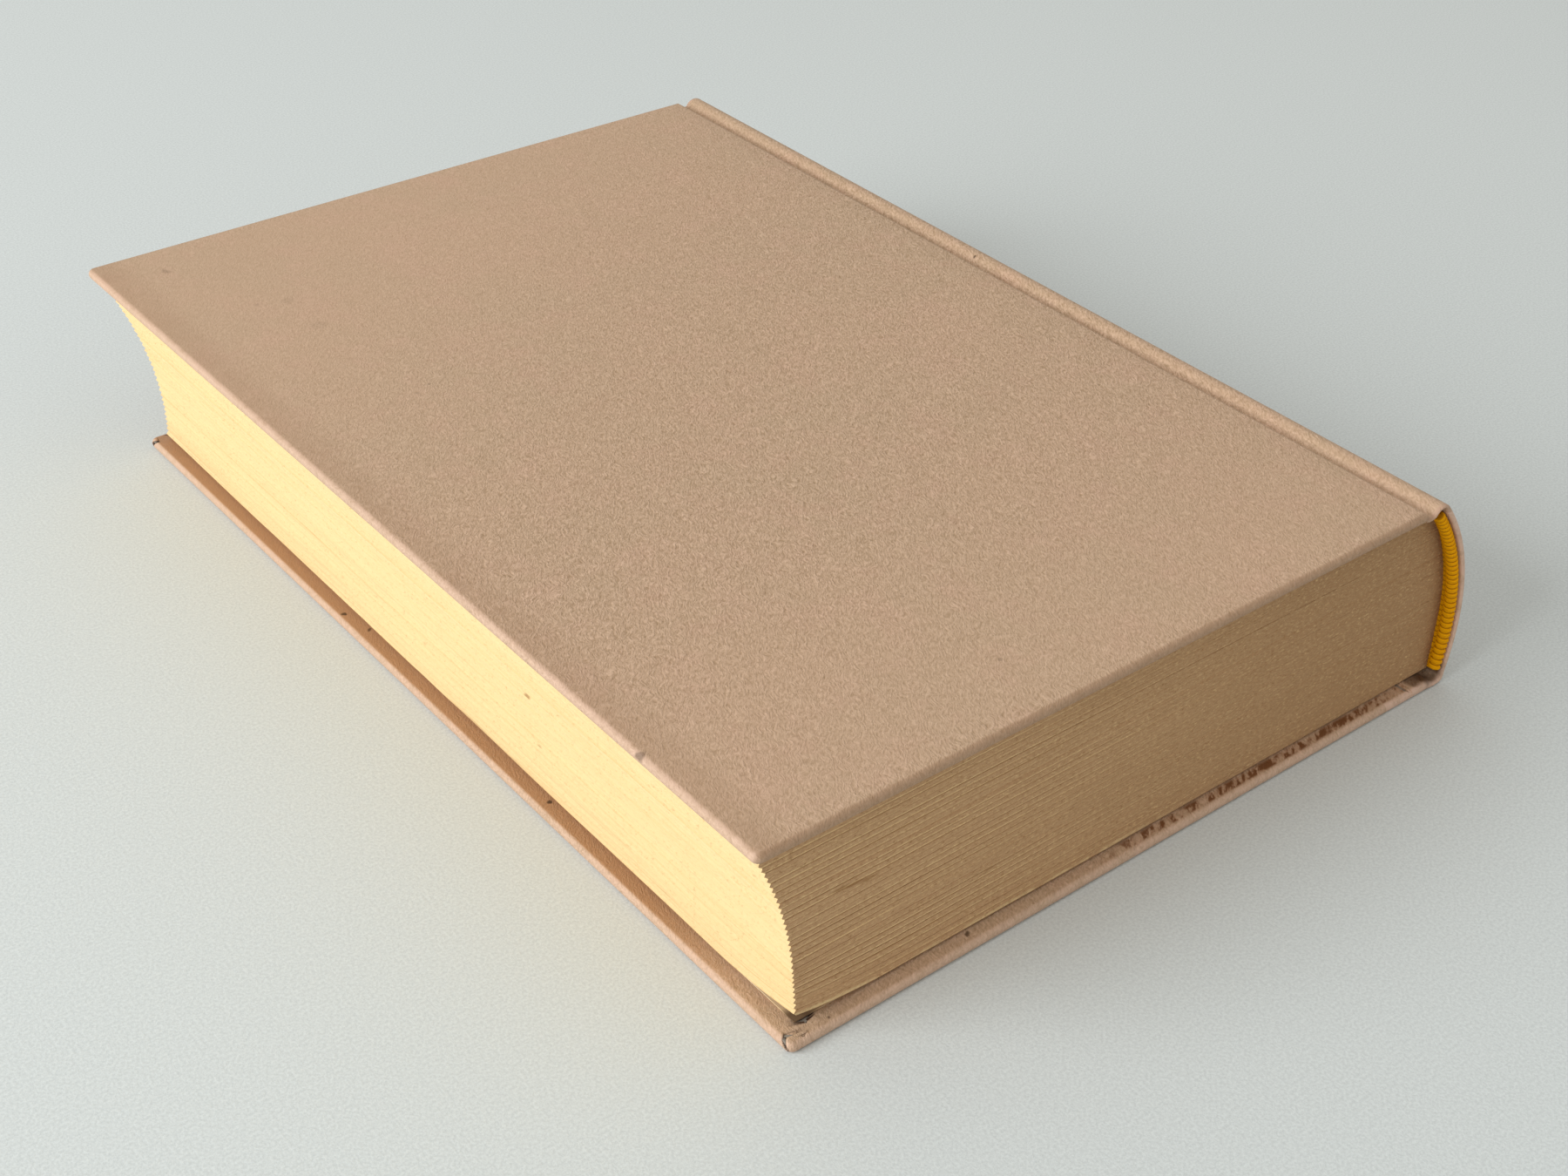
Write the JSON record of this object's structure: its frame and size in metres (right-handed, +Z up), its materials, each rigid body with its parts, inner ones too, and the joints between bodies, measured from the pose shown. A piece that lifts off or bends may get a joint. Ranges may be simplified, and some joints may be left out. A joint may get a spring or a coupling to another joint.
{
  "type": "hardback book",
  "caption": "Closed hardback book in plain leather covers, with a rounded leaning spine, joint grooves, hollow fore edge and ribbed headbands. Both covers open.",
  "frame": {"origin": "middle of the book's overall length and width, at the level of the back cover's outer face", "axes": "+Z up through the closed book, from back cover to front cover; +X towards the spine; +Y from the head end to the tail end"},
  "size_m": [0.1582, 0.21, 0.0424],
  "materials": {
    "pages": "matt, toned cream",
    "endpaper": "matt, smooth",
    "leather": "matt, very fine grain",
    "board": "raw grey board",
    "mull": "open cotton gauze",
    "lining": "brown lining paper",
    "headband": "ribbed ochre thread"
  },
  "bodies": {
    "text_block": {"text_block": "pages", "front_flyleaf": "endpaper", "back_flyleaf": "endpaper", "spine_mull": "mull", "spine_lining": "lining", "head_band": "headband", "tail_band": "headband", "spine_inlay": "lining", "spine_leather": "leather"},
    "front_cover": {"front_board": "board", "front_leather": "leather", "front_mull_flange": "mull", "front_pastedown": "endpaper"},
    "back_cover": {"back_board": "board", "back_leather": "leather", "back_mull_flange": "mull", "back_pastedown": "endpaper"}
  },
  "joints": [
    {"name": "front_hinge", "type": "hinge", "parent": "text_block", "child": "front_cover", "pos_m": [0.06301, 0, 0.0426], "axis": [0, 1, 0], "range_deg": [0, 178]},
    {"name": "back_hinge", "type": "hinge", "parent": "text_block", "child": "back_cover", "pos_m": [0.07111, 0, -0.0002], "axis": [0, -1, 0], "range_deg": [0, 178]}
  ]
}
